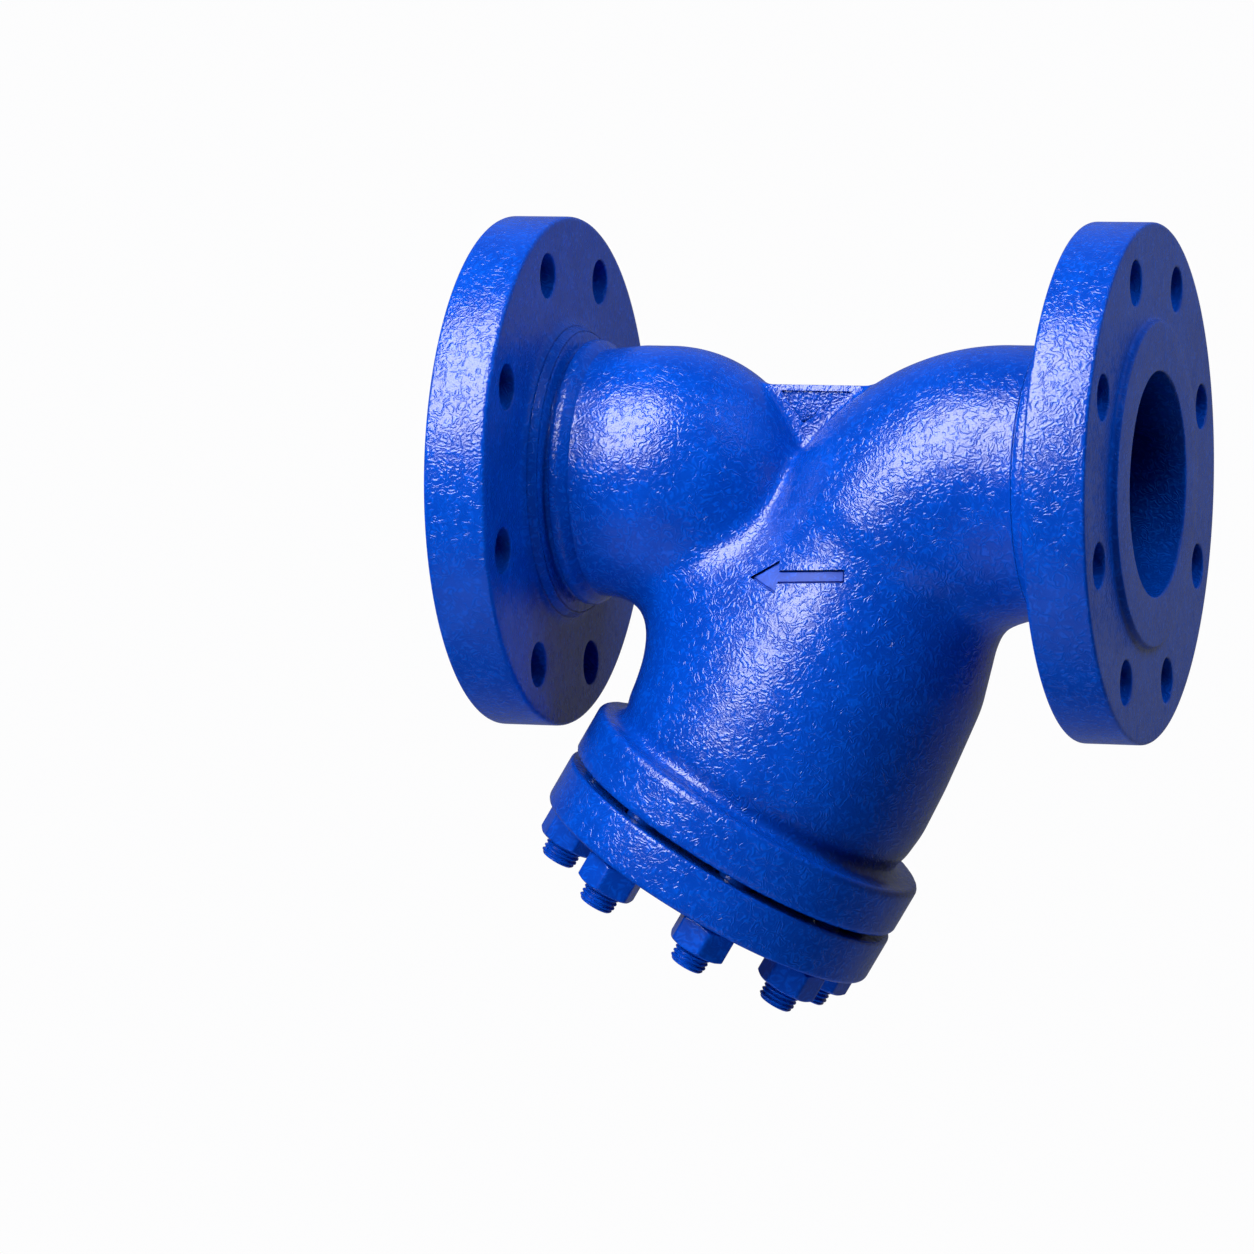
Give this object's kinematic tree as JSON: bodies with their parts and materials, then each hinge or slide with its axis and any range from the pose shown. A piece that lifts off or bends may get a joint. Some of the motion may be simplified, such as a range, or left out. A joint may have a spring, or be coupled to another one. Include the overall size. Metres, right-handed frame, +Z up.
{
  "type": "flanged y strainer",
  "caption": "Cast, enamelled Y strainer with two flanged ends, a slanting branch holding a perforated screen, and a bolted cover with a drain plug.",
  "frame": {"origin": "centre of the run, on the run axis half way between the two raised flange faces", "axes": "+X along the run axis out of the inlet flange, so the flow goes towards -X; +Z up, with the branch hanging down and towards -X in the XZ plane; +Y to the back"},
  "size_m": [0.292, 0.22, 0.3375],
  "materials": {
    "blue_enamel": "glossy blue enamel over a rough sand casting",
    "blue_enamel_smooth": "the same blue enamel over machined studs and nuts",
    "stainless_sheet": "rolled perforated stainless sheet",
    "stainless_ring": "turned stainless ring",
    "gasket_graphite": "matt dark grey gasket sheet",
    "copper_seal": "soft copper sealing ring"
  },
  "bodies": {
    "body_with_studs": {"strainer_body": "blue_enamel", "stud_1": "blue_enamel_smooth", "stud_2": "blue_enamel_smooth", "stud_3": "blue_enamel_smooth", "stud_4": "blue_enamel_smooth", "stud_5": "blue_enamel_smooth", "stud_6": "blue_enamel_smooth", "stud_7": "blue_enamel_smooth", "stud_8": "blue_enamel_smooth"},
    "cover": {"cover": "blue_enamel", "cover_gasket": "gasket_graphite"},
    "screen": {"screen": "stainless_sheet", "screen_top_ring": "stainless_ring", "screen_bottom_ring": "stainless_ring"},
    "drain_plug": {"drain_plug": "blue_enamel_smooth", "drain_plug_seal": "copper_seal"},
    "nut_1": {"nut_1": "blue_enamel_smooth"},
    "nut_2": {"nut_2": "blue_enamel_smooth"},
    "nut_3": {"nut_3": "blue_enamel_smooth"},
    "nut_4": {"nut_4": "blue_enamel_smooth"},
    "nut_5": {"nut_5": "blue_enamel_smooth"},
    "nut_6": {"nut_6": "blue_enamel_smooth"},
    "nut_7": {"nut_7": "blue_enamel_smooth"},
    "nut_8": {"nut_8": "blue_enamel_smooth"}
  },
  "joints": [
    {"name": "cover_off", "type": "slide", "parent": "body_with_studs", "child": "cover", "axis": [-0.5, 0, -0.866], "range_m": [0, 0.24]},
    {"name": "screen_out", "type": "slide", "parent": "body_with_studs", "child": "screen", "axis": [-0.5, 0, -0.866], "range_m": [0, 0.168]},
    {"name": "drain_plug_out", "type": "slide", "parent": "cover", "child": "drain_plug", "axis": [-0.5, 0, -0.866], "range_m": [0, 0.03]},
    {"name": "nut_1_turn", "type": "hinge", "parent": "cover", "child": "nut_1", "pos_m": [-0.10226, 0.02373, -0.15435], "axis": [-0.5, 0, -0.866], "continuous": true},
    {"name": "nut_2_turn", "type": "hinge", "parent": "cover", "child": "nut_2", "pos_m": [-0.0732, 0.05728, -0.17113], "axis": [-0.5, 0, -0.866], "continuous": true},
    {"name": "nut_3_turn", "type": "hinge", "parent": "cover", "child": "nut_3", "pos_m": [-0.0321, 0.05728, -0.19485], "axis": [-0.5, 0, -0.866], "continuous": true},
    {"name": "nut_4_turn", "type": "hinge", "parent": "cover", "child": "nut_4", "pos_m": [-0.00304, 0.02373, -0.21163], "axis": [-0.5, 0, -0.866], "continuous": true},
    {"name": "nut_5_turn", "type": "hinge", "parent": "cover", "child": "nut_5", "pos_m": [-0.00304, -0.02373, -0.21163], "axis": [-0.5, 0, -0.866], "continuous": true},
    {"name": "nut_6_turn", "type": "hinge", "parent": "cover", "child": "nut_6", "pos_m": [-0.0321, -0.05728, -0.19485], "axis": [-0.5, 0, -0.866], "continuous": true},
    {"name": "nut_7_turn", "type": "hinge", "parent": "cover", "child": "nut_7", "pos_m": [-0.0732, -0.05728, -0.17113], "axis": [-0.5, 0, -0.866], "continuous": true},
    {"name": "nut_8_turn", "type": "hinge", "parent": "cover", "child": "nut_8", "pos_m": [-0.10226, -0.02373, -0.15435], "axis": [-0.5, 0, -0.866], "continuous": true}
  ],
  "couplings": [
    {"joint": "screen_out", "follows": "cover_off", "ratio": 0.7}
  ]
}
